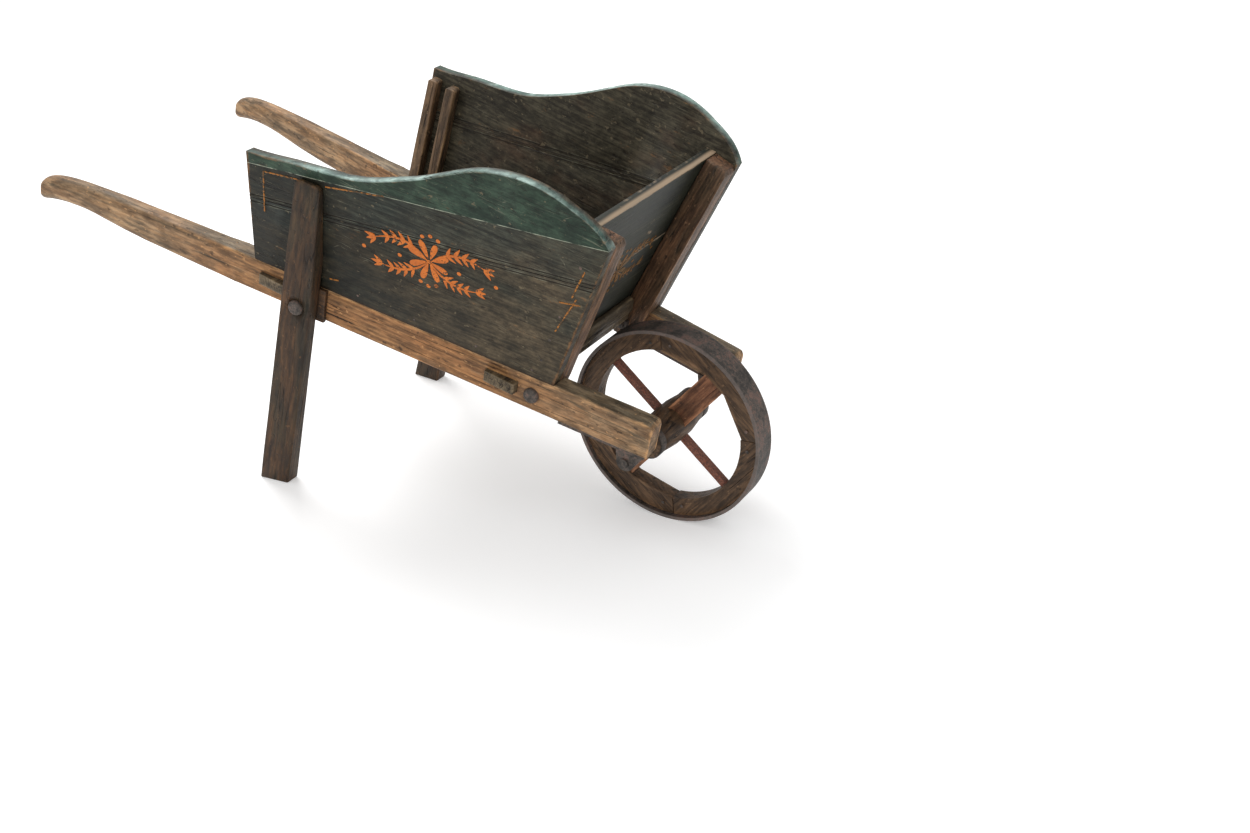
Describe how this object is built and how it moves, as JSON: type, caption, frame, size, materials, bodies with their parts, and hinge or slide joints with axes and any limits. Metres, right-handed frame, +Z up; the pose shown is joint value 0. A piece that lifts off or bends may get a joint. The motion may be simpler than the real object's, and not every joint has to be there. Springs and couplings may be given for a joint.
{
  "type": "wooden wheelbarrow",
  "caption": "Wooden wheelbarrow with a scalloped, painted tray open at the rear, straight shaft handles, splayed posts and an iron-tyred wooden wheel.",
  "frame": {"origin": "on the ground, at the centre of the overall box", "axes": "+X forward towards the wheel, +Y to the barrow's left, +Z up"},
  "size_m": [1.3744, 0.5686, 0.7025],
  "materials": {
    "painted_board": "worn dark green paint",
    "wrought_iron": "dark, pitted",
    "rusted_bar": "rusted",
    "floor_wood": "grey-green, worn",
    "wheel_wood": "worn, oiled",
    "batten_wood": "worn",
    "frame_wood": "worn, oiled"
  },
  "bodies": {
    "frame": {"floor_board_centre": "floor_wood", "front_board_lower": "painted_board", "front_board_upper": "painted_board", "front_cross_rail": "frame_wood", "front_sill": "floor_wood", "left_axle_strap": "wrought_iron", "left_floor_board": "floor_wood", "left_front_stay": "frame_wood", "left_leg": "frame_wood", "left_leg_bolt": "wrought_iron", "left_leg_nut": "wrought_iron", "left_leg_packing": "frame_wood", "left_shaft": "frame_wood", "left_side_board_lower": "painted_board", "left_side_board_upper": "painted_board", "left_stay_bolt": "wrought_iron", "left_stay_nut": "wrought_iron", "left_strap_screws": "wrought_iron", "left_tail_batten_front": "batten_wood", "left_tail_batten_rear": "batten_wood", "rear_cross_rail": "frame_wood", "right_axle_strap": "wrought_iron", "right_floor_board": "floor_wood", "right_front_stay": "frame_wood", "right_leg": "frame_wood", "right_leg_bolt": "wrought_iron", "right_leg_nut": "wrought_iron", "right_leg_packing": "frame_wood", "right_shaft": "frame_wood", "right_side_board_lower": "painted_board", "right_side_board_upper": "painted_board", "right_stay_bolt": "wrought_iron", "right_stay_nut": "wrought_iron", "right_strap_screws": "wrought_iron", "right_tail_batten_front": "batten_wood", "right_tail_batten_rear": "batten_wood"},
    "wheel": {"bar_spoke": "rusted_bar", "felloe_1": "wheel_wood", "felloe_2": "wheel_wood", "felloe_3": "wheel_wood", "felloe_4": "wheel_wood", "gudgeon_left": "wrought_iron", "gudgeon_right": "wrought_iron", "hub": "wheel_wood", "hub_band_left": "wrought_iron", "hub_band_right": "wrought_iron", "plank_spoke": "wheel_wood", "tyre": "wrought_iron"}
  },
  "joints": [
    {"name": "wheel_spin", "type": "hinge", "parent": "frame", "child": "wheel", "pos_m": [0.50316, 0, 0.184], "axis": [0, 1, 0], "continuous": true}
  ]
}
